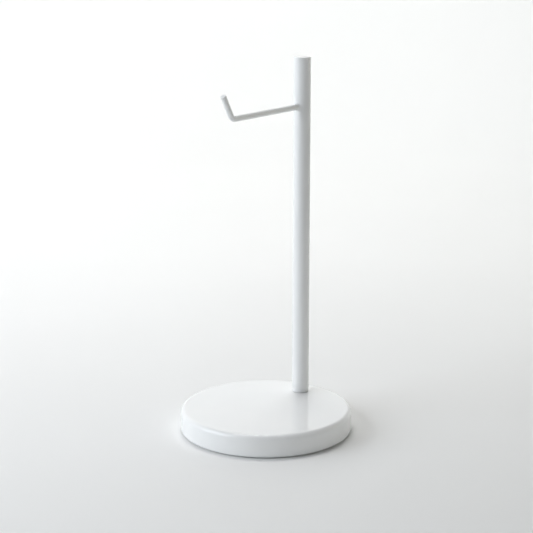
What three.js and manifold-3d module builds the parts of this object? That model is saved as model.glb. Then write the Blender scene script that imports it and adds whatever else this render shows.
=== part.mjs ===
// Headphone stand: a weighted round base, a pole near its back edge, and a bent rod hook that
// carries the headband over the middle of the base.
//
// Millimetres, +Z up. The origin is the centre of the base, on the surface that the stand rests
// on. The pole stands towards +Y and the hook points along -Y.

import * as THREE from 'three';
import { mergeVertices } from 'three/addons/utils/BufferGeometryUtils.js';
import Module from 'manifold-3d';

const wasm = await Module();
wasm.setup();

// ---------------------------------------------------------------- driving dimensions

const TOTAL_HEIGHT = 257;

// Base: a drawn steel shell whose lower edge is turned in, held off the table by the pad.
const BASE_RADIUS = 60;
const BASE_TOP = 16;
const EDGE_LIFT = 0.5;
const SHELL = 1.2;
const TOP_EDGE_RADIUS = 3.5;
const LOWER_EDGE_RADIUS = 1.4;
const LIP_OPENING = 56.8;

// Inside the base, from the table up.
const PAD_RADIUS = 56.2;
const PAD_THICKNESS = 2.6;
const WEIGHT_RADIUS = 56.4;
const WEIGHT_CHAMFER = 1;
const WEIGHT_BOTTOM = 2.8;
const WEIGHT_TOP = 13.8;
const TAPE_RADIUS = 54;
const SEAT_RADIUS = 9;
const TAPE_HOLE = 10;
const FILM_GAP = 0.1;

// Pole: a tube on its own axis, closed by a plug at the top and a threaded plug at the foot.
const POLE_Y = 42;
const POLE_RADIUS = 6;
const POLE_WALL = 1.2;
const POLE_CHAMFER = 0.25;
const FOOT_JOINT_GAP = 0.3;
const FIT_GAP = 0.3;
const TOP_PLUG_LENGTH = 6;
const INSERT_LENGTH = 24;
const THREAD_DEPTH = 12;

// The insert's lower end has two flats, and drops this far into the cover's matching hole.
const KEY_DEPTH = 0.9;
const KEY_HALF_FLAT = 3.6;

// Foot bolt, M6 with a button head, and its washers.
const BOLT_RADIUS = 2.9;
const BOLT_LENGTH = 20;
const BOLT_HEAD_RADIUS = 5.25;
const BOLT_HEAD_HEIGHT = 3.3;
const BOLT_FLAT_RADIUS = 3;
const HEX_ACROSS_FLATS = 4;
const HEX_DEPTH = 2;
const CLEARANCE_RADIUS = 3.3;
const COUNTERBORE_RADIUS = 7;
const COUNTERBORE_DEPTH = 7;
const WASHER_THICKNESS = 1.5;
const FLAT_WASHER_RADIUS = 6;
const SPRING_WASHER_RADIUS = 5.2;
const SPRING_WASHER_SLIT = 1;
const WASHER_BORE = 3.2;
const PAD_HOLE = 8;

// Hook: a straight stretch square to the pole, a bend, and a leg that stops the headband.
const ROD_RADIUS = 2;
const HOOK_HEIGHT = 223;
const HOOK_REACH = 79;
const BEND_RADIUS = 6;
const LEG_LENGTH = 18.5;
const LEG_ANGLE = THREE.MathUtils.degToRad(59.5);
const WELD_RADIUS = 3.3;
const WELD_LENGTH = 1.6;

// Sizes worked out from those above.
const poleBore = POLE_RADIUS - POLE_WALL;
const poleBottom = BASE_TOP + FOOT_JOINT_GAP;

// How finely round shapes are divided.
const BASE_SIDES = 80;
const POLE_SIDES = 40;
const SMALL_SIDES = 24;
const ROD_SIDES = 16;
const ROD_STEPS = 64;
const LARGE_ARC = 5;
const SMALL_ARC = 2;

// How far a cutting shape runs past the faces that it cuts.
const BEYOND = 5;

const QUARTER = Math.PI / 2;

// ---------------------------------------------------------------- materials

const FINISHES = {
  gloss_white: { color: 0xf1f2f2, roughness: 0.18, metalness: 0 },
  cast_iron: { color: 0x3b3c3e, roughness: 0.75, metalness: 0.6 },
  foam_tape: { color: 0xdedad0, roughness: 0.9, metalness: 0 },
  pad_foam: { color: 0x4a4a4c, roughness: 0.85, metalness: 0 },
  bare_steel: { color: 0x9a9b9d, roughness: 0.35, metalness: 1 },
  zinc: { color: 0xc4c6c8, roughness: 0.3, metalness: 1 },
};

// ---------------------------------------------------------------- helpers

// A closed geometry as a manifold solid, for joining and cutting.
function solid(geometry) {
  const bare = geometry.clone();
  bare.deleteAttribute('normal');
  bare.deleteAttribute('uv');
  const merged = mergeVertices(bare);
  return new wasm.Manifold(
    new wasm.Mesh({
      numProp: 3,
      vertProperties: new Float32Array(merged.attributes.position.array),
      triVerts: new Uint32Array(merged.index.array),
    }),
  );
}

// A manifold solid as a named mesh of the stand, in one of the finishes.
function piece(name, body, finish) {
  const source = body.getMesh();
  const geometry = new THREE.BufferGeometry();
  geometry.setAttribute('position', new THREE.BufferAttribute(source.vertProperties, 3));
  geometry.setIndex(new THREE.BufferAttribute(source.triVerts, 1));
  geometry.computeVertexNormals();
  const mesh = new THREE.Mesh(geometry, new THREE.MeshStandardMaterial(FINISHES[finish]));
  mesh.name = name;
  return mesh;
}

// A profile of [radius, height] points turned about the Z axis. It runs anticlockwise, and
// starts and ends on the axis or closes on itself.
function turned(profile, sides) {
  const points = profile.map(([radius, height]) => new THREE.Vector2(radius, height));
  return solid(new THREE.LatheGeometry(points, sides).rotateX(Math.PI / 2));
}

// The [radius, height] points of a round stretch of a profile, ends included.
function arc([centreRadius, centreHeight], radius, startAngle, endAngle, steps) {
  return Array.from({ length: steps + 1 }, (_, step) => {
    const angle = startAngle + ((endAngle - startAngle) * step) / steps;
    return [centreRadius + radius * Math.cos(angle), centreHeight + radius * Math.sin(angle)];
  });
}

// A plain upright cylinder between two heights, on the Z axis.
function drum(radius, bottom, top, sides = SMALL_SIDES) {
  return turned([[0, bottom], [radius, bottom], [radius, top], [0, top]], sides);
}

// A ring between two heights, on the Z axis.
function ring(inner, outer, bottom, top, sides = SMALL_SIDES) {
  return turned([[inner, bottom], [outer, bottom], [outer, top], [inner, top], [inner, bottom]], sides);
}

// An upright box between two heights, on the Z axis. Its width runs along X.
function block(width, depth, bottom, top) {
  const box = new THREE.BoxGeometry(width, depth, top - bottom);
  return solid(box.translate(0, 0, (bottom + top) / 2));
}

// A solid moved from the Z axis to the pole's axis.
function onPoleAxis(body) {
  return body.translate([0, POLE_Y, 0]);
}

// A round bar with two flats, the shape that keys the pole to the base.
function keyedBar(radius, halfFlat, bottom, top) {
  return drum(radius, bottom, top).intersect(block(2 * halfFlat, 3 * radius, bottom, top));
}

// ---------------------------------------------------------------- base

function baseCover() {
  const ceiling = BASE_TOP - SHELL;
  const topCentre = [BASE_RADIUS - TOP_EDGE_RADIUS, BASE_TOP - TOP_EDGE_RADIUS];
  const lowCentre = [BASE_RADIUS - LOWER_EDGE_RADIUS, EDGE_LIFT + LOWER_EDGE_RADIUS];
  const shell = turned(
    [
      [0, ceiling],
      ...arc(topCentre, TOP_EDGE_RADIUS - SHELL, QUARTER, 0, LARGE_ARC),
      ...arc(lowCentre, LOWER_EDGE_RADIUS - SHELL, 0, -QUARTER, SMALL_ARC),
      [LIP_OPENING, EDGE_LIFT + SHELL],
      [LIP_OPENING, EDGE_LIFT],
      ...arc(lowCentre, LOWER_EDGE_RADIUS, -QUARTER, 0, SMALL_ARC),
      ...arc(topCentre, TOP_EDGE_RADIUS, 0, QUARTER, LARGE_ARC),
      [0, BASE_TOP],
    ],
    BASE_SIDES,
  );
  const keyhole = keyedBar(poleBore, KEY_HALF_FLAT + FIT_GAP, ceiling - BEYOND, BASE_TOP + BEYOND);
  return piece('base_cover', shell.subtract(onPoleAxis(keyhole)), 'gloss_white');
}

function baseWeight() {
  const disc = turned(
    [
      [0, WEIGHT_BOTTOM],
      [WEIGHT_RADIUS - WEIGHT_CHAMFER, WEIGHT_BOTTOM],
      [WEIGHT_RADIUS, WEIGHT_BOTTOM + WEIGHT_CHAMFER],
      [WEIGHT_RADIUS, WEIGHT_TOP - WEIGHT_CHAMFER],
      [WEIGHT_RADIUS - WEIGHT_CHAMFER, WEIGHT_TOP],
      [0, WEIGHT_TOP],
    ],
    BASE_SIDES,
  );
  // A raised seat round the bolt hole reaches through the tape to the cover.
  const seat = drum(SEAT_RADIUS, WEIGHT_TOP - WEIGHT_CHAMFER, BASE_TOP - SHELL - FILM_GAP);
  const boltHole = drum(CLEARANCE_RADIUS, WEIGHT_BOTTOM - BEYOND, BASE_TOP);
  const counterbore = drum(COUNTERBORE_RADIUS, WEIGHT_BOTTOM - BEYOND, WEIGHT_BOTTOM + COUNTERBORE_DEPTH);
  const body = disc
    .add(onPoleAxis(seat))
    .subtract(onPoleAxis(boltHole))
    .subtract(onPoleAxis(counterbore));
  return piece('base_weight', body, 'cast_iron');
}

function weightTape() {
  const bottom = WEIGHT_TOP + FILM_GAP;
  const top = BASE_TOP - SHELL - FILM_GAP;
  const disc = drum(TAPE_RADIUS, bottom, top, BASE_SIDES);
  const hole = drum(TAPE_HOLE, bottom - BEYOND, top + BEYOND);
  return piece('weight_tape', disc.subtract(onPoleAxis(hole)), 'foam_tape');
}

function nonSlipPad() {
  const disc = drum(PAD_RADIUS, 0, PAD_THICKNESS, BASE_SIDES);
  const hole = drum(PAD_HOLE, -BEYOND, PAD_THICKNESS + BEYOND);
  return piece('non_slip_pad', disc.subtract(onPoleAxis(hole)), 'pad_foam');
}

// ---------------------------------------------------------------- foot fastening

// The washers and the bolt's head hang below the floor of the counterbore, in this order.
const flatWasherTop = WEIGHT_BOTTOM + COUNTERBORE_DEPTH - FILM_GAP;
const springWasherTop = flatWasherTop - WASHER_THICKNESS - FILM_GAP;
const headTop = springWasherTop - WASHER_THICKNESS - FILM_GAP;

function flatWasher() {
  const body = ring(WASHER_BORE, FLAT_WASHER_RADIUS, flatWasherTop - WASHER_THICKNESS, flatWasherTop);
  return piece('flat_washer', onPoleAxis(body), 'zinc');
}

function springWasher() {
  const bottom = springWasherTop - WASHER_THICKNESS;
  const slit = block(SPRING_WASHER_SLIT, SPRING_WASHER_RADIUS, bottom - BEYOND, springWasherTop + BEYOND);
  const body = ring(WASHER_BORE, SPRING_WASHER_RADIUS, bottom, springWasherTop)
    .subtract(slit.translate([0, SPRING_WASHER_RADIUS, 0]));
  return piece('spring_washer', onPoleAxis(body), 'zinc');
}

function footBolt() {
  const headBottom = headTop - BOLT_HEAD_HEIGHT;
  const dome = BOLT_HEAD_RADIUS - BOLT_FLAT_RADIUS;
  const body = turned(
    [
      [0, headBottom],
      ...arc([BOLT_FLAT_RADIUS, headBottom + dome], dome, -QUARTER, 0, SMALL_ARC),
      [BOLT_HEAD_RADIUS, headTop],
      [BOLT_RADIUS, headTop],
      [BOLT_RADIUS, headTop + BOLT_LENGTH],
      [0, headTop + BOLT_LENGTH],
    ],
    SMALL_SIDES,
  );
  const hexRadius = HEX_ACROSS_FLATS / 2 / Math.cos(Math.PI / 6);
  const socket = drum(hexRadius, headBottom - BEYOND, headBottom + HEX_DEPTH, 6);
  return piece('foot_bolt', onPoleAxis(body.subtract(socket)), 'zinc');
}

// ---------------------------------------------------------------- pole

function poleTube() {
  const body = turned(
    [
      [poleBore, poleBottom],
      [POLE_RADIUS - POLE_CHAMFER, poleBottom],
      [POLE_RADIUS, poleBottom + POLE_CHAMFER],
      [POLE_RADIUS, TOTAL_HEIGHT - POLE_CHAMFER],
      [POLE_RADIUS - POLE_CHAMFER, TOTAL_HEIGHT],
      [poleBore, TOTAL_HEIGHT],
      [poleBore, poleBottom],
    ],
    POLE_SIDES,
  );
  const hookHole = drum(ROD_RADIUS + FIT_GAP, 0, POLE_RADIUS + BEYOND)
    .rotate([90, 0, 0])
    .translate([0, 0, HOOK_HEIGHT]);
  return piece('pole_tube', onPoleAxis(body.subtract(hookHole)), 'gloss_white');
}

function poleTopPlug() {
  const body = drum(poleBore - FIT_GAP, TOTAL_HEIGHT - TOP_PLUG_LENGTH, TOTAL_HEIGHT);
  return piece('pole_top_plug', onPoleAxis(body), 'gloss_white');
}

function poleFootInsert() {
  const radius = poleBore - FIT_GAP;
  const key = keyedBar(radius, KEY_HALF_FLAT, BASE_TOP - KEY_DEPTH, poleBottom + KEY_DEPTH);
  const thread = drum(CLEARANCE_RADIUS, 0, poleBottom + THREAD_DEPTH);
  const body = drum(radius, poleBottom, poleBottom + INSERT_LENGTH)
    .add(key)
    .subtract(thread);
  return piece('pole_foot_insert', onPoleAxis(body), 'bare_steel');
}

// ---------------------------------------------------------------- hook

// The rod's centre line in the YZ plane: from inside the pole, out over the base, round the
// bend and up to the cut end of the leg.
function hookPath() {
  const at = (y, z) => new THREE.Vector3(0, y, z);
  const cornerY = POLE_Y - HOOK_REACH;
  const setback = BEND_RADIUS * Math.tan(LEG_ANGLE / 2);
  const legY = -Math.cos(LEG_ANGLE);
  const legZ = Math.sin(LEG_ANGLE);
  const bendStart = at(cornerY + setback, HOOK_HEIGHT);
  const bendEnd = at(cornerY + setback * legY, HOOK_HEIGHT + setback * legZ);
  const tip = at(cornerY + LEG_LENGTH * legY, HOOK_HEIGHT + LEG_LENGTH * legZ);
  const rodEnd = at(POLE_Y + poleBore - 2 * FIT_GAP, HOOK_HEIGHT);

  class Bend extends THREE.Curve {
    getPoint(t) {
      const turn = t * LEG_ANGLE;
      return at(
        bendStart.y - BEND_RADIUS * Math.sin(turn),
        bendStart.z + BEND_RADIUS * (1 - Math.cos(turn)),
      );
    }
  }

  const path = new THREE.CurvePath();
  path.add(new THREE.LineCurve3(rodEnd, bendStart));
  path.add(new Bend());
  path.add(new THREE.LineCurve3(bendEnd, tip));
  return path;
}

function hookRod() {
  const section = new THREE.Shape().absarc(0, 0, ROD_RADIUS, 0, 2 * Math.PI);
  const rod = solid(
    new THREE.ExtrudeGeometry(section, {
      steps: ROD_STEPS,
      curveSegments: ROD_SIDES / 2,
      extrudePath: hookPath(),
    }),
  );
  // The weld is a cone round the rod, trimmed to stand just off the pole's round face.
  const weldStart = POLE_RADIUS - 1;
  const weldEnd = POLE_RADIUS + FIT_GAP + WELD_LENGTH;
  const cone = [[0, weldStart], [WELD_RADIUS, weldStart], [ROD_RADIUS, weldEnd], [0, weldEnd]];
  const weld = turned(cone, ROD_SIDES)
    .rotate([90, 0, 0])
    .translate([0, 0, HOOK_HEIGHT])
    .subtract(drum(POLE_RADIUS + FIT_GAP, HOOK_HEIGHT - BEYOND, HOOK_HEIGHT + BEYOND, POLE_SIDES));
  return piece('hook_rod', rod.add(onPoleAxis(weld)), 'gloss_white');
}

// ---------------------------------------------------------------- the stand

const stand = new THREE.Group();
stand.add(baseCover(), baseWeight(), weightTape(), nonSlipPad());
stand.add(flatWasher(), springWasher(), footBolt());
stand.add(poleTube(), poleTopPlug(), poleFootInsert(), hookRod());

export default stand;
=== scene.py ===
"""A headphone stand: a weighted round base, a pole near its back edge and a bent rod hook.

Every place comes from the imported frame, in metres, +Z up. The pole stands towards +Y and the
hook points along -Y. Each CAD node is replaced by a finished piece of the same size.
"""

import math

import bmesh
import bpy
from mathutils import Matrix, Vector


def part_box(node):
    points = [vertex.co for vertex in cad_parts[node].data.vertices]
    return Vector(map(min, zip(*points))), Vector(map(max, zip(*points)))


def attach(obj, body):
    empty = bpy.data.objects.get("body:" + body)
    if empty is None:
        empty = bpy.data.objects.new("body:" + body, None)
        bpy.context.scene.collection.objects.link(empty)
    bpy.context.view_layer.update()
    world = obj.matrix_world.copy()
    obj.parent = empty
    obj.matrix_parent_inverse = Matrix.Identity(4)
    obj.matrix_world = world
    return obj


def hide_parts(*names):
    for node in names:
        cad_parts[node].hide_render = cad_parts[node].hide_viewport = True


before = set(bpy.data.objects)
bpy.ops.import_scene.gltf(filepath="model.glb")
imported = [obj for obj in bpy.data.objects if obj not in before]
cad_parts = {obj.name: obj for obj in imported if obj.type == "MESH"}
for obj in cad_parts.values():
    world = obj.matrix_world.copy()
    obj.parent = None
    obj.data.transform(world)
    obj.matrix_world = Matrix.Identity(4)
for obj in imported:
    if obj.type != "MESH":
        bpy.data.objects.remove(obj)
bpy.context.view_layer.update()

MM = 0.001
TURN = 2 * math.pi
QUARTER = math.pi / 2

# ---------------------------------------------------------------- places, from the frame

COVER_LOW, COVER_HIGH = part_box("base_cover")
WEIGHT_LOW, WEIGHT_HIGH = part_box("base_weight")
TAPE_LOW, TAPE_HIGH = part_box("weight_tape")
PAD_LOW, PAD_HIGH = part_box("non_slip_pad")
POLE_LOW, POLE_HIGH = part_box("pole_tube")
PLUG_LOW, PLUG_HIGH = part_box("pole_top_plug")
INSERT_LOW, INSERT_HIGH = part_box("pole_foot_insert")
HOOK_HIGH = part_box("hook_rod")[1]
BOLT_LOW, BOLT_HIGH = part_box("foot_bolt")
SPRING_LOW, SPRING_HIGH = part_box("spring_washer")
FLAT_LOW, FLAT_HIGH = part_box("flat_washer")

BASE_RADIUS = (COVER_HIGH.x - COVER_LOW.x) / 2
BASE_TOP = COVER_HIGH.z
POLE_RADIUS = (POLE_HIGH.x - POLE_LOW.x) / 2
POLE_Y = (POLE_HIGH.y + POLE_LOW.y) / 2
TOTAL_HEIGHT = POLE_HIGH.z

# ---------------------------------------------------------------- sizes that a box doesn't give

SHELL = 1.2 * MM
TOP_EDGE_RADIUS = 3.5 * MM
LOWER_EDGE_RADIUS = 1.4 * MM
LIP_OPENING = 56.8 * MM
TAPE_HOLE = 10 * MM
TAPE_EDGE = 0.1 * MM
PAD_HOLE = 8 * MM
PAD_EDGE = 0.35 * MM

FILM_GAP = 0.1 * MM
WEIGHT_TOP = TAPE_LOW.z - FILM_GAP
WEIGHT_SEAT = 9 * MM
WEIGHT_EDGE = 1 * MM
CLEARANCE_RADIUS = 3.3 * MM
COUNTERBORE_RADIUS = 7 * MM
COUNTERBORE_DEPTH = 7 * MM

POLE_WALL = 1.2 * MM
POLE_EDGE = 0.25 * MM
POLE_INNER_EDGE = 0.1 * MM
PLUG_CLEARANCE = 0.02 * MM
PLUG_EDGE = 0.12 * MM
KEY_HALF_FLAT = 3.6 * MM
KEY_CLEARANCE = 0.3 * MM
KEY_EDGE = 0.2 * MM
INSERT_EDGE = 0.5 * MM
INSERT_THREAD_LENGTH = 12 * MM
INSERT_THREAD_DEPTH = 0.25 * MM

ROD_RADIUS = 2 * MM
ROD_HOLE_RADIUS = 1.1 * ROD_RADIUS
HOOK_REACH = 79 * MM
BEND_RADIUS = 6 * MM
LEG_LENGTH = 18.5 * MM
LEG_ANGLE = math.radians(59.5)
LEG_RISE = LEG_LENGTH * math.sin(LEG_ANGLE) + ROD_RADIUS * math.cos(LEG_ANGLE)
HOOK_HEIGHT = HOOK_HIGH.z - LEG_RISE
TIP_EDGE = 0.3 * MM
WELD_SPREAD = 1.15 * MM
WELD_LENGTH = 1.5 * MM
WELD_OVERLAP = 0.1 * MM
HIDDEN_END_EDGE = 0.4 * MM

BOLT_RADIUS = 2.9 * MM
BOLT_HEAD_RADIUS = 5.25 * MM
BOLT_HEAD_HEIGHT = 3.3 * MM
BOLT_HEAD_RIM = 0.6 * MM
BOLT_HEAD_EDGE = 0.2 * MM
BOLT_HEAD_FILLET = 0.25 * MM
BOLT_FLAT_RADIUS = 3 * MM
THREAD_PITCH = 1 * MM
THREAD_DEPTH = 0.55 * MM
HEX_ACROSS_FLATS = 4 * MM
HEX_DEPTH = 2 * MM
HEX_MOUTH_RADIUS = 0.61 * HEX_ACROSS_FLATS
HEX_MOUTH_DEPTH = 0.3 * MM
HEX_FLOOR_RADIUS = 0.7 * MM
HEX_FLOOR_DROP = 0.5 * MM
WASHER_BORE = 3.2 * MM
FLAT_WASHER_EDGE = 0.25 * MM
SPRING_WASHER_EDGE = 0.15 * MM
SPRING_SLIT = math.radians(8)

BASE_SIDES = 256
POLE_SIDES = 128
SMALL_SIDES = 96
ROD_SIDES = 64
SWEEP_SIDES = 96

# The stand-off of the rings beside a rounded edge, and the length of an edge too short to keep.
SUPPORT = 0.25 * MM
SLIVER = 0.002 * MM


# ---------------------------------------------------------------- mesh helpers

def skin(name, rings, ends="capped"):
    """A mesh through rings of equally many points. ends is capped, joined or open_top."""
    mesh = bmesh.new()
    rows = [[mesh.verts.new(point) for point in ring] for ring in rings]
    pairs = list(zip(rows, rows[1:]))
    if ends == "joined":
        pairs.append((rows[-1], rows[0]))
    for lower, upper in pairs:
        for here in range(len(lower)):
            after = (here + 1) % len(lower)
            mesh.faces.new((lower[here], lower[after], upper[after], upper[here]))
    caps = {"capped": (rows[0], rows[-1]), "joined": (), "open_top": (rows[0],)}
    for row in caps[ends]:
        middle = mesh.verts.new(sum((v.co for v in row), Vector()) / len(row))
        for here in range(len(row)):
            mesh.faces.new((row[here], row[(here + 1) % len(row)], middle))
    bmesh.ops.recalc_face_normals(mesh, faces=mesh.faces)
    data = bpy.data.meshes.new(name)
    mesh.to_mesh(data)
    mesh.free()
    obj = bpy.data.objects.new(name, data)
    bpy.context.scene.collection.objects.link(obj)
    return obj


def circle(radius, height, sides, centre_y=0.0):
    """A level ring of points round a vertical axis."""
    turns = [TURN * step / sides for step in range(sides)]
    return [Vector((radius * math.cos(a), centre_y + radius * math.sin(a), height)) for a in turns]


def turned(name, profile, sides, centre_y=0.0, ends="capped"):
    """A profile of (radius, height) points turned about a vertical axis."""
    rings = [circle(radius, height, sides, centre_y) for radius, height in profile]
    return skin(name, rings, ends)


def arc(centre, radius, start, end, steps=10):
    """The (radius, height) points of a round stretch of a profile, ends included."""
    angles = [start + (end - start) * step / steps for step in range(steps + 1)]
    return [(centre[0] + radius * math.cos(a), centre[1] + radius * math.sin(a)) for a in angles]


def cut(obj, cutter):
    """Cuts one mesh out of another and leaves only the result."""
    change = obj.modifiers.new("cut", "BOOLEAN")
    change.operation = "DIFFERENCE"
    change.solver = "EXACT"
    change.object = cutter
    bake(obj)
    bpy.data.objects.remove(cutter)


def bake(obj):
    """Applies every modifier of a mesh object and removes the slivers that a cut leaves."""
    bpy.context.view_layer.update()
    graph = bpy.context.evaluated_depsgraph_get()
    data = bpy.data.meshes.new_from_object(obj.evaluated_get(graph))
    obj.modifiers.clear()
    mesh = bmesh.new()
    mesh.from_mesh(data)
    bmesh.ops.remove_doubles(mesh, verts=mesh.verts, dist=SLIVER)
    bmesh.ops.dissolve_degenerate(mesh, edges=mesh.edges, dist=SLIVER)
    mesh.to_mesh(data)
    mesh.free()
    obj.data = data


def smooth(obj, angle=32):
    """Smooth shading, with an edge kept sharp where two faces meet at more than the angle."""
    obj.data.shade_smooth()
    obj.data.set_sharp_from_angle(angle=math.radians(angle))


def round_pole(radius, turn, height):
    """A point at a radius and a turn round the pole's axis."""
    return Vector((radius * math.cos(turn), POLE_Y + radius * math.sin(turn), height))


def keyed_ring(radius, half_flat, height):
    """A ring of points on the pole's axis, cut off flat on both sides."""
    ring = circle(radius, height, SMALL_SIDES, POLE_Y)
    return [Vector((max(-half_flat, min(half_flat, p.x)), p.y, p.z)) for p in ring]


def hexagon(across_flats, height):
    """A six-sided ring of points on the pole's axis."""
    ring = []
    for step in range(SMALL_SIDES):
        turn = TURN * step / SMALL_SIDES
        radius = across_flats / 2 / math.cos(turn % (TURN / 6) - TURN / 12)
        ring.append(round_pole(radius, turn, height))
    return ring


def thread_ring(height, start, groove_at):
    """One ring of a screw thread. groove_at gives the radius for a place across the groove."""
    ring = []
    for step in range(SMALL_SIDES):
        share = step / SMALL_SIDES
        across = abs(2 * (((height - start) / THREAD_PITCH - share) % 1) - 1)
        radius = groove_at(across)
        turn = TURN * share
        ring.append(round_pole(radius, turn, height))
    return ring


# ---------------------------------------------------------------- material helpers

class Surface:
    """A material with a Principled shader and short calls for the nodes that feed it."""

    def __init__(self, name, **constants):
        self.material = bpy.data.materials.new(name)
        self.material.use_nodes = True
        self.nodes = self.material.node_tree.nodes
        self.links = self.material.node_tree.links
        self.shader = self.nodes["Principled BSDF"]
        self.place = self.nodes.new("ShaderNodeTexCoord").outputs["Object"]
        self.height = None
        for socket, value in constants.items():
            self.shader.inputs[socket.replace("_", " ")].default_value = value

    def noise(self, size, detail=2.0, stretch=(1, 1, 1)):
        """Noise whose lumps are about size metres across."""
        scale = self.nodes.new("ShaderNodeMapping")
        scale.inputs["Scale"].default_value = stretch
        self.links.new(self.place, scale.inputs["Vector"])
        node = self.nodes.new("ShaderNodeTexNoise")
        node.inputs["Scale"].default_value = 1 / size
        node.inputs["Detail"].default_value = detail
        self.links.new(scale.outputs["Vector"], node.inputs["Vector"])
        return node.outputs["Fac"]

    def cells(self, size):
        """Rounded cells about size metres across."""
        node = self.nodes.new("ShaderNodeTexVoronoi")
        node.inputs["Scale"].default_value = 1 / size
        self.links.new(self.place, node.inputs["Vector"])
        return node.outputs["Distance"]

    def spread(self, source, low, high, start=0.3, stop=0.7):
        """A value between low and high that follows a source."""
        node = self.nodes.new("ShaderNodeMapRange")
        node.inputs["From Min"].default_value = start
        node.inputs["From Max"].default_value = stop
        node.inputs["To Min"].default_value = low
        node.inputs["To Max"].default_value = high
        self.links.new(source, node.inputs["Value"])
        return node.outputs["Result"]

    def colours(self, source, first, second, start=0.3, stop=0.7):
        """Base colour that runs between two colours as the source does."""
        ramp = self.nodes.new("ShaderNodeValToRGB")
        ramp.color_ramp.elements[0].position = start
        ramp.color_ramp.elements[0].color = (*first, 1)
        ramp.color_ramp.elements[1].position = stop
        ramp.color_ramp.elements[1].color = (*second, 1)
        self.links.new(source, ramp.inputs["Fac"])
        self.links.new(ramp.outputs["Color"], self.shader.inputs["Base Color"])

    def roughness(self, source, low, high):
        """Roughness that runs between two values as the source does."""
        self.links.new(self.spread(source, low, high), self.shader.inputs["Roughness"])

    def bump(self, source, depth):
        """Raises the surface by up to depth metres where the source is high."""
        node = self.nodes.new("ShaderNodeBump")
        node.inputs["Distance"].default_value = depth
        self.links.new(source, node.inputs["Height"])
        if self.height:
            self.links.new(self.height, node.inputs["Normal"])
        self.height = node.outputs["Normal"]
        self.links.new(self.height, self.shader.inputs["Normal"])


# ---------------------------------------------------------------- materials

def gloss_white_paint():
    """Gloss powder coat: a faint orange peel, with hardly any change of tone."""
    paint = Surface("gloss_white_paint", Metallic=0.0, IOR=1.5)
    paint.colours(paint.noise(45 * MM), (0.865, 0.872, 0.874), (0.885, 0.889, 0.888))
    paint.roughness(paint.noise(9 * MM, 4), 0.05, 0.08)
    paint.bump(paint.noise(2.6 * MM, 1), 0.006 * MM)
    paint.bump(paint.noise(0.5 * MM, 2), 0.0012 * MM)
    return paint.material


def cast_iron():
    """Sand-cast iron with a thin black dip."""
    iron = Surface("cast_iron", Metallic=0.4, IOR=1.5)
    iron.colours(iron.noise(6 * MM, 5), (0.028, 0.028, 0.031), (0.075, 0.073, 0.072))
    iron.roughness(iron.noise(2 * MM, 4), 0.55, 0.85)
    iron.bump(iron.noise(0.9 * MM, 5), 0.4 * MM)
    iron.bump(iron.cells(1.7 * MM), 0.15 * MM)
    return iron.material


def foam_tape():
    """The cream foam core of double-sided tape."""
    foam = Surface("foam_tape", IOR=1.45)
    foam.colours(foam.noise(3 * MM, 4), (0.66, 0.64, 0.57), (0.76, 0.74, 0.68))
    foam.roughness(foam.noise(1 * MM, 3), 0.8, 0.95)
    foam.bump(foam.cells(0.35 * MM), 0.08 * MM)
    return foam.material


def pad_foam():
    """Closed-cell foam sheet: fine cells under a dull skin."""
    foam = Surface("pad_foam", IOR=1.45)
    foam.colours(foam.noise(4 * MM, 5), (0.055, 0.055, 0.058), (0.085, 0.085, 0.088))
    foam.roughness(foam.noise(1.5 * MM, 3), 0.75, 0.95)
    foam.bump(foam.cells(0.55 * MM), 0.1 * MM)
    foam.bump(foam.noise(0.2 * MM, 3), 0.03 * MM)
    return foam.material


def zinc_plate():
    """Bright zinc plate on rolled steel."""
    zinc = Surface("zinc_plate", Metallic=1.0, IOR=1.5)
    zinc.colours(zinc.noise(1.8 * MM, 4), (0.56, 0.59, 0.63), (0.7, 0.71, 0.7))
    zinc.roughness(zinc.noise(0.6 * MM, 4), 0.24, 0.4)
    zinc.bump(zinc.noise(0.18 * MM, 3), 0.008 * MM)
    return zinc.material


def bare_steel():
    """Turned mild steel, with the tool's fine rings round the pole's axis."""
    steel = Surface("bare_steel", Metallic=1.0, IOR=1.5)
    steel.colours(steel.noise(4 * MM, 4), (0.3, 0.3, 0.31), (0.4, 0.395, 0.385))
    steel.roughness(steel.noise(1 * MM, 3), 0.3, 0.46)
    steel.bump(steel.noise(0.25 * MM, 2, stretch=(0.02, 0.02, 1)), 0.012 * MM)
    return steel.material


# ---------------------------------------------------------------- base

def base_cover():
    """The drawn shell: flat top, round shoulder, straight wall and a lip turned in below."""
    ceiling = BASE_TOP - SHELL
    shoulder = (BASE_RADIUS - TOP_EDGE_RADIUS, BASE_TOP - TOP_EDGE_RADIUS)
    heel = (BASE_RADIUS - LOWER_EDGE_RADIUS, COVER_LOW.z + LOWER_EDGE_RADIUS)
    lip = (LIP_OPENING + SHELL / 2, COVER_LOW.z + SHELL / 2)
    wall = BASE_RADIUS - SHELL
    profile = [
        (shoulder[0] - SUPPORT, ceiling),
        *arc(shoulder, TOP_EDGE_RADIUS - SHELL, QUARTER, 0),
        (wall, shoulder[1] - SUPPORT),
        (wall, heel[1] + SUPPORT),
        *arc(heel, LOWER_EDGE_RADIUS - SHELL, 0, -QUARTER, 4),
        *arc(lip, SHELL / 2, QUARTER, 3 * QUARTER, 8),
        *arc(heel, LOWER_EDGE_RADIUS, -QUARTER, 0),
        (BASE_RADIUS, heel[1] + SUPPORT),
        (BASE_RADIUS, shoulder[1] - SUPPORT),
        *arc(shoulder, TOP_EDGE_RADIUS, 0, QUARTER, 16),
        (shoulder[0] - SUPPORT, BASE_TOP),
    ]
    cover = turned("drawn_base_cover", profile, BASE_SIDES)
    bore = POLE_RADIUS - POLE_WALL
    half_flat = KEY_HALF_FLAT + KEY_CLEARANCE
    ends = [keyed_ring(bore, half_flat, height) for height in (ceiling - MM, BASE_TOP + MM)]
    cut(cover, skin("keyhole", ends))
    smooth(cover)
    return cover


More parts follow.
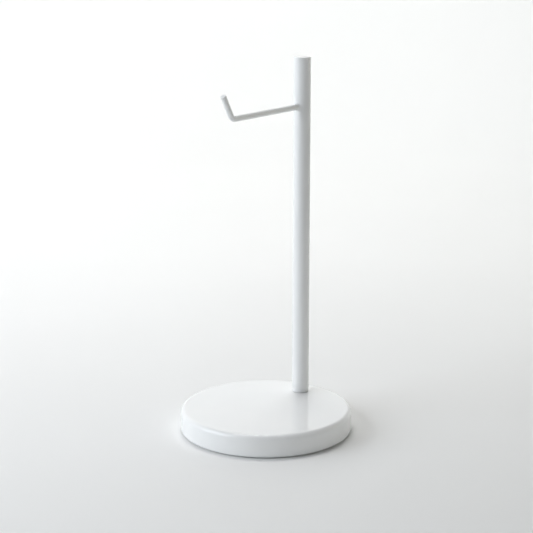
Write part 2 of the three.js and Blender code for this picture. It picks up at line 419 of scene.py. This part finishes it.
def base_weight():
    """The iron disc, with a raised seat round the bolt hole and a recess for the bolt's head."""
    radius = (WEIGHT_HIGH.x - WEIGHT_LOW.x) / 2
    low = WEIGHT_LOW.z
    profile = [
        (radius - 2 * WEIGHT_EDGE, low),
        *arc((radius - WEIGHT_EDGE, low + WEIGHT_EDGE), WEIGHT_EDGE, -QUARTER, 0, 6),
        *arc((radius - WEIGHT_EDGE, WEIGHT_TOP - WEIGHT_EDGE), WEIGHT_EDGE, 0, QUARTER, 6),
        (radius - 2 * WEIGHT_EDGE, WEIGHT_TOP),
    ]
    weight = turned("cast_base_weight", profile, BASE_SIDES)
    seat_profile = [
        (WEIGHT_SEAT + SUPPORT, WEIGHT_TOP - WEIGHT_EDGE),
        (WEIGHT_SEAT, WEIGHT_HIGH.z - SUPPORT),
        (WEIGHT_SEAT - SUPPORT, WEIGHT_HIGH.z),
    ]
    seat = turned("seat", seat_profile, SMALL_SIDES, POLE_Y)
    grow = weight.modifiers.new("seat", "BOOLEAN")
    grow.operation = "UNION"
    grow.solver = "EXACT"
    grow.object = seat
    bake(weight)
    bpy.data.objects.remove(seat)
    recess = [
        (COUNTERBORE_RADIUS + 2 * SUPPORT, low - SUPPORT),
        (COUNTERBORE_RADIUS, low + SUPPORT),
        (COUNTERBORE_RADIUS, low + COUNTERBORE_DEPTH),
    ]
    cut(weight, turned("recess", recess, SMALL_SIDES, POLE_Y))
    hole = [(CLEARANCE_RADIUS, low), (CLEARANCE_RADIUS, WEIGHT_HIGH.z + MM)]
    cut(weight, turned("hole", hole, SMALL_SIDES, POLE_Y))
    smooth(weight)
    return weight


def holed_disc(name, low, high, edge, hole_radius):
    """A thin sheet disc between two corners of a box, with a hole at the pole's foot."""
    radius = (high.x - low.x) / 2
    profile = [
        (radius - 2 * edge, low.z),
        *arc((radius - edge, low.z + edge), edge, -QUARTER, 0, 5),
        *arc((radius - edge, high.z - edge), edge, 0, QUARTER, 5),
        (radius - 2 * edge, high.z),
    ]
    disc = turned(name, profile, BASE_SIDES)
    hole = [
        (hole_radius + edge, low.z - edge),
        (hole_radius, low.z + edge),
        (hole_radius, high.z + edge),
    ]
    cut(disc, turned("hole", hole, SMALL_SIDES, POLE_Y))
    smooth(disc)
    return disc


# ---------------------------------------------------------------- foot fastening

def flat_washer():
    """A punched washer, rounded on the side that the punch came in from."""
    outer = (FLAT_HIGH.x - FLAT_LOW.x) / 2
    edge = FLAT_WASHER_EDGE
    profile = [
        (WASHER_BORE, FLAT_LOW.z),
        *arc((outer - edge, FLAT_LOW.z + edge), edge, -QUARTER, 0, 4),
        *arc((outer - edge, FLAT_HIGH.z - edge), edge, 0, QUARTER, 4),
        *arc((WASHER_BORE + edge, FLAT_HIGH.z - edge), edge, QUARTER, 2 * QUARTER, 4),
    ]
    washer = turned("plain_washer", profile, SMALL_SIDES, POLE_Y, "joined")
    smooth(washer)
    return washer


def spring_washer():
    """A split washer pulled flat, with a slanted cut through the ring at the back."""
    outer = (SPRING_HIGH.x - SPRING_LOW.x) / 2
    inner = WASHER_BORE
    low, high = SPRING_LOW.z, SPRING_HIGH.z
    edge = SPRING_WASHER_EDGE
    corners = [
        ((inner + edge, low + edge), 2 * QUARTER),
        ((outer - edge, low + edge), 3 * QUARTER),
        ((outer - edge, high - edge), 0),
        ((inner + edge, high - edge), QUARTER),
    ]
    section = []
    for centre, start in corners:
        section += arc(centre, edge, start, start + QUARTER, 3)
    slant = SPRING_SLIT * 2
    rings = []
    for step in range(SMALL_SIDES + 1):
        share = step / SMALL_SIDES
        ring = []
        for radius, height in section:
            lean = slant * ((height - low) / (high - low) - 0.5)
            turn = QUARTER + SPRING_SLIT / 2 + lean + share * (TURN - SPRING_SLIT)
            ring.append(round_pole(radius, turn, height))
        rings.append(ring)
    washer = skin("split_washer", rings)
    smooth(washer)
    return washer


def foot_bolt():
    """A button-head bolt with a hexagon socket below and a cut thread above."""
    low = BOLT_LOW.z
    under = low + BOLT_HEAD_HEIGHT
    tip = BOLT_HIGH.z
    dome = BOLT_HEAD_RADIUS - BOLT_FLAT_RADIUS
    rise = (BOLT_HEAD_HEIGHT - BOLT_HEAD_RIM) / dome
    edge, fillet = BOLT_HEAD_EDGE, BOLT_HEAD_FILLET
    round_dome = arc((BOLT_FLAT_RADIUS, low + dome), dome, -QUARTER, 0)
    head = [
        (BOLT_FLAT_RADIUS - SUPPORT, low),
        *((radius, low + (height - low) * rise) for radius, height in round_dome),
        *arc((BOLT_HEAD_RADIUS - edge, under - edge), edge, 0, QUARTER, 4),
        *arc((BOLT_RADIUS + fillet, under + fillet), fillet, 3 * QUARTER, 2 * QUARTER, 4),
    ]
    rings = [
        circle(HEX_FLOOR_RADIUS, low + HEX_DEPTH + HEX_FLOOR_DROP, SMALL_SIDES, POLE_Y),
        hexagon(HEX_ACROSS_FLATS, low + HEX_DEPTH),
        hexagon(HEX_ACROSS_FLATS, low + HEX_MOUTH_DEPTH),
        circle(HEX_MOUTH_RADIUS, low, SMALL_SIDES, POLE_Y),
    ]
    rings += [circle(radius, height, SMALL_SIDES, POLE_Y) for radius, height in head]
    rows_per_turn = 10
    flank_slope = 1.15
    start = under + THREAD_PITCH
    rows = round((tip - start) / THREAD_PITCH * rows_per_turn)
    for row in range(rows + 1):
        height = start + (tip - start) * row / rows
        deepest = THREAD_DEPTH * min(1, row / rows_per_turn)
        outside = BOLT_RADIUS - max(0, height - (tip - THREAD_DEPTH))
        rings.append(thread_ring(height, start, lambda across: min(
            outside, BOLT_RADIUS - deepest * min(1, flank_slope * (1 - across)),
        )))
    bolt = skin("button_head_bolt", rings)
    smooth(bolt, 28)
    return bolt


# ---------------------------------------------------------------- pole

def pole_tube():
    """The pole's tube, with softened ends and the drilled hole that the hook's rod enters."""
    bore = POLE_RADIUS - POLE_WALL
    low, high = POLE_LOW.z, POLE_HIGH.z
    inner, outer = POLE_INNER_EDGE, POLE_EDGE
    profile = [
        (bore, low + 2 * outer),
        *arc((bore + inner, low + inner), inner, 2 * QUARTER, 3 * QUARTER, 3),
        *arc((POLE_RADIUS - outer, low + outer), outer, -QUARTER, 0, 6),
        (POLE_RADIUS, low + 2 * outer),
        (POLE_RADIUS, high - 2 * outer),
        *arc((POLE_RADIUS - outer, high - outer), outer, 0, QUARTER, 6),
        *arc((bore + inner, high - inner), inner, QUARTER, 2 * QUARTER, 3),
        (bore, high - 2 * outer),
    ]
    pole = turned("painted_pole", profile, POLE_SIDES, POLE_Y, "joined")
    reach = [
        rod_ring(Vector((0, POLE_Y, HOOK_HEIGHT)), ROD_HOLE_RADIUS),
        rod_ring(Vector((0, POLE_Y - 2 * POLE_RADIUS, HOOK_HEIGHT)), ROD_HOLE_RADIUS),
    ]
    cut(pole, skin("hook_hole", reach))
    smooth(pole)
    return pole


def pole_top_plug():
    """The flush disc that closes the pole, with a hairline round it under the paint."""
    radius = POLE_RADIUS - POLE_WALL - PLUG_CLEARANCE
    edge = PLUG_EDGE
    low, high = PLUG_LOW.z, PLUG_HIGH.z
    profile = [
        (radius - 4 * edge, low),
        (radius, low + 4 * edge),
        (radius, high - 2 * edge),
        *arc((radius - edge, high - edge), edge, 0, QUARTER, 4),
        (radius - 3 * edge, high),
    ]
    plug = turned("pole_end_plug", profile, SMALL_SIDES, POLE_Y)
    smooth(plug)
    return plug


def pole_foot_insert():
    """The turned plug in the pole's lower end, with two flats below and a thread inside."""
    radius = (INSERT_HIGH.y - INSERT_LOW.y) / 2
    low, shoulder, high = INSERT_LOW.z, POLE_LOW.z, INSERT_HIGH.z
    top = shoulder + INSERT_THREAD_LENGTH
    rows_per_turn = 8
    rows = round((top - low) / THREAD_PITCH * rows_per_turn)
    rings = [
        thread_ring(
            top + (low - top) * row / rows, top,
            lambda across: CLEARANCE_RADIUS - INSERT_THREAD_DEPTH * across,
        )
        for row in range(rows + 1)
    ]
    rings += [
        keyed_ring(radius - KEY_EDGE, KEY_HALF_FLAT - KEY_EDGE / 2, low),
        keyed_ring(radius, KEY_HALF_FLAT, low + KEY_EDGE),
        keyed_ring(radius, KEY_HALF_FLAT, shoulder),
        circle(radius, shoulder + KEY_EDGE, SMALL_SIDES, POLE_Y),
        circle(radius, high - INSERT_EDGE, SMALL_SIDES, POLE_Y),
        circle(radius - INSERT_EDGE, high, SMALL_SIDES, POLE_Y),
    ]
    insert = skin("threaded_foot_insert", rings)
    smooth(insert, 28)
    return insert


# ---------------------------------------------------------------- hook

def rod_ring(centre, radius, lean=0.0):
    """A ring round the hook's centre line, which leaves the pole along -Y and leans up."""
    along = Vector((0, -math.cos(lean), math.sin(lean)))
    side = Vector((1, 0, 0))
    up = side.cross(along) * -1
    turns = [TURN * step / ROD_SIDES for step in range(ROD_SIDES)]
    return [centre + radius * (math.cos(a) * side + math.sin(a) * up) for a in turns]


def weld_rings():
    """Rings from the rod's hidden end, out through the pole's wall and up the weld's slope."""
    def on_pole(spread, stand_off):
        """A slightly uneven ring that follows the pole's face and stands off it."""
        ring = []
        for step in range(ROD_SIDES):
            angle = TURN * step / ROD_SIDES
            lump = 1 + 0.07 * math.sin(3 * angle + 0.6) + 0.05 * math.sin(7 * angle)
            reach = ROD_RADIUS + spread * lump
            x = reach * math.cos(angle)
            face = POLE_Y - math.sqrt(POLE_RADIUS ** 2 - x ** 2)
            ring.append(Vector((x, face - stand_off, HOOK_HEIGHT + reach * math.sin(angle))))
        return ring
    inside = POLE_Y - POLE_RADIUS + POLE_WALL
    rings = [
        rod_ring(Vector((0, HOOK_HIGH.y, HOOK_HEIGHT)), ROD_RADIUS - HIDDEN_END_EDGE),
        rod_ring(Vector((0, HOOK_HIGH.y - HIDDEN_END_EDGE, HOOK_HEIGHT)), ROD_RADIUS),
        rod_ring(Vector((0, inside, HOOK_HEIGHT)), ROD_RADIUS),
        on_pole(0, -1.2 * WELD_OVERLAP),
        on_pole(WELD_SPREAD, -WELD_OVERLAP),
    ]
    steps = 10
    for step in range(steps, -1, -1):
        slope = QUARTER * step / steps
        spread = WELD_SPREAD * (1 - math.cos(slope))
        rings.append(on_pole(spread, WELD_LENGTH * (1 - math.sin(slope))))
    return rings


def hook_rod():
    """The bent rod: weld, straight stretch, bend, leg and a cut end with softened edges."""
    corner_y = POLE_Y - HOOK_REACH
    setback = BEND_RADIUS * math.tan(LEG_ANGLE / 2)
    bend_y = corner_y + setback
    leg = Vector((0, -math.cos(LEG_ANGLE), math.sin(LEG_ANGLE)))
    tip = Vector((0, corner_y, HOOK_HEIGHT)) + leg * LEG_LENGTH
    rings = weld_rings()
    straight_from = POLE_Y - POLE_RADIUS - 2 * WELD_LENGTH
    straight_steps = 24
    for step in range(straight_steps + 1):
        y = straight_from + (bend_y - straight_from) * step / straight_steps
        rings.append(rod_ring(Vector((0, y, HOOK_HEIGHT)), ROD_RADIUS))
    bend_steps = 28
    for step in range(1, bend_steps + 1):
        turn = LEG_ANGLE * step / bend_steps
        centre = Vector((
            0,
            bend_y - BEND_RADIUS * math.sin(turn),
            HOOK_HEIGHT + BEND_RADIUS * (1 - math.cos(turn)),
        ))
        rings.append(rod_ring(centre, ROD_RADIUS, turn))
    for radius, back in arc((ROD_RADIUS - TIP_EDGE, -TIP_EDGE), TIP_EDGE, 0, QUARTER, 6):
        rings.append(rod_ring(tip + leg * back, radius, LEG_ANGLE))
    rings.append(rod_ring(tip, ROD_RADIUS - 2 * TIP_EDGE, LEG_ANGLE))
    rod = skin("painted_hook", rings)
    smooth(rod, 40)
    return rod


# ---------------------------------------------------------------- putting it together

def place(obj, node, material):
    """Gives a piece its material and puts it in its CAD node's place."""
    obj.data.materials.clear()
    obj.data.materials.append(material)
    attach(obj, "root")
    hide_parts(node)


white = gloss_white_paint()
zinc = zinc_plate()
place(base_cover(), "base_cover", white)
place(base_weight(), "base_weight", cast_iron())
tape = holed_disc("foam_tape_disc", TAPE_LOW, TAPE_HIGH, TAPE_EDGE, TAPE_HOLE)
place(tape, "weight_tape", foam_tape())
pad = holed_disc("foam_base_pad", PAD_LOW, PAD_HIGH, PAD_EDGE, PAD_HOLE)
place(pad, "non_slip_pad", pad_foam())
place(flat_washer(), "flat_washer", zinc)
place(spring_washer(), "spring_washer", zinc)
place(foot_bolt(), "foot_bolt", zinc)
place(pole_tube(), "pole_tube", white)
place(pole_top_plug(), "pole_top_plug", white)
place(pole_foot_insert(), "pole_foot_insert", bare_steel())
place(hook_rod(), "hook_rod", white)

# ---------------------------------------------------------------- camera

CAMERA_AZIMUTH = math.radians(36.4)
CAMERA_ELEVATION = math.radians(14)
CAMERA_DISTANCE = 1.0
CAMERA_LENS = 98.4
CAMERA_SHIFT = 0.001
AIM_HEIGHT = 0.456 * TOTAL_HEIGHT


def make_camera():
    """Looks down a little at the middle of the stand, from its front right."""
    back = Vector((
        math.sin(CAMERA_AZIMUTH) * math.cos(CAMERA_ELEVATION),
        -math.cos(CAMERA_AZIMUTH) * math.cos(CAMERA_ELEVATION),
        math.sin(CAMERA_ELEVATION),
    ))
    data = bpy.data.cameras.new("camera")
    data.lens = CAMERA_LENS
    data.shift_x = CAMERA_SHIFT
    camera = bpy.data.objects.new("camera", data)
    bpy.context.scene.collection.objects.link(camera)
    camera.location = Vector((0, 0, AIM_HEIGHT)) + back * CAMERA_DISTANCE
    camera.rotation_mode = "QUATERNION"
    camera.rotation_quaternion = (-back).to_track_quat("-Z", "Y")
    bpy.context.scene.camera = camera


# ---------------------------------------------------------------- studio

FLOOR_RADIUS = 0.95
SWEEP_RADIUS = 0.75
WALL_HEIGHT = 2.0


def make_sweep():
    """A pale round floor that curves up into a wall on every side."""
    profile = [
        (FLOOR_RADIUS / 2, 0),
        *arc((FLOOR_RADIUS, SWEEP_RADIUS), SWEEP_RADIUS, -QUARTER, 0, 24),
        (FLOOR_RADIUS + SWEEP_RADIUS, WALL_HEIGHT),
    ]
    sweep = turned("sweep", profile, SWEEP_SIDES, ends="open_top")
    sweep.data.shade_smooth()
    paper = Surface("sweep_paper", Roughness=0.85, IOR=1.4)
    paper.shader.inputs["Specular IOR Level"].default_value = 0.2
    paper.colours(paper.noise(0.4, 2), (0.84, 0.84, 0.835), (0.86, 0.86, 0.855))
    sweep.data.materials.append(paper.material)


def around(degrees, distance, height):
    """A point round the stand. Degrees run clockwise from the camera's side, seen from above."""
    angle = CAMERA_AZIMUTH - math.radians(degrees)
    return Vector((distance * math.sin(angle), -distance * math.cos(angle), height))


def soft_light(name, position, aim, size, watts, colour):
    """A soft box of a width and height that lights the scene but isn't seen by the camera."""
    data = bpy.data.lights.new(name, "AREA")
    data.shape = "RECTANGLE"
    data.size, data.size_y = size
    data.energy = watts
    data.color = colour
    light = bpy.data.objects.new(name, data)
    light.visible_camera = False
    bpy.context.scene.collection.objects.link(light)
    light.location = position
    light.rotation_mode = "QUATERNION"
    light.rotation_quaternion = (aim - position).to_track_quat("-Z", "Y")


def make_lights():
    """A cool key light from the left, and a backdrop that is brightest behind and to the left."""
    stand = around(0, 0, 0.1)
    wall, wall_left = around(180, 1.65, 0.3), around(120, 1.65, 0.3)
    small, large, wide = (0.5, 0.5), (0.9, 0.9), (0.9, 0.4)
    soft_light("key", around(75, 1.18, 0.65), stand, large, 10.0, (0.87, 0.94, 1.0))
    soft_light("backdrop", around(180, 0.5, 1.5), wall, small, 14.9, (0.98, 1.0, 0.985))
    soft_light("backdrop_left", around(120, 0.5, 1.5), wall_left, small, 4.9, (1.0, 0.91, 0.93))
    soft_light("glow_behind", around(180, 1.4, 0.62), stand, wide, 0.12, (1.0, 1.0, 1.0))
    soft_light("warm_rim", around(260, 1.2, 0.35), stand, small, 0.4, (1.0, 0.8, 0.3))
    world = bpy.data.worlds.new("room")
    world.use_nodes = True
    world.node_tree.nodes["Background"].inputs["Strength"].default_value = 0.0
    bpy.context.scene.world = world


make_camera()
make_sweep()
make_lights()
bpy.context.scene.view_settings.view_transform = "Standard"
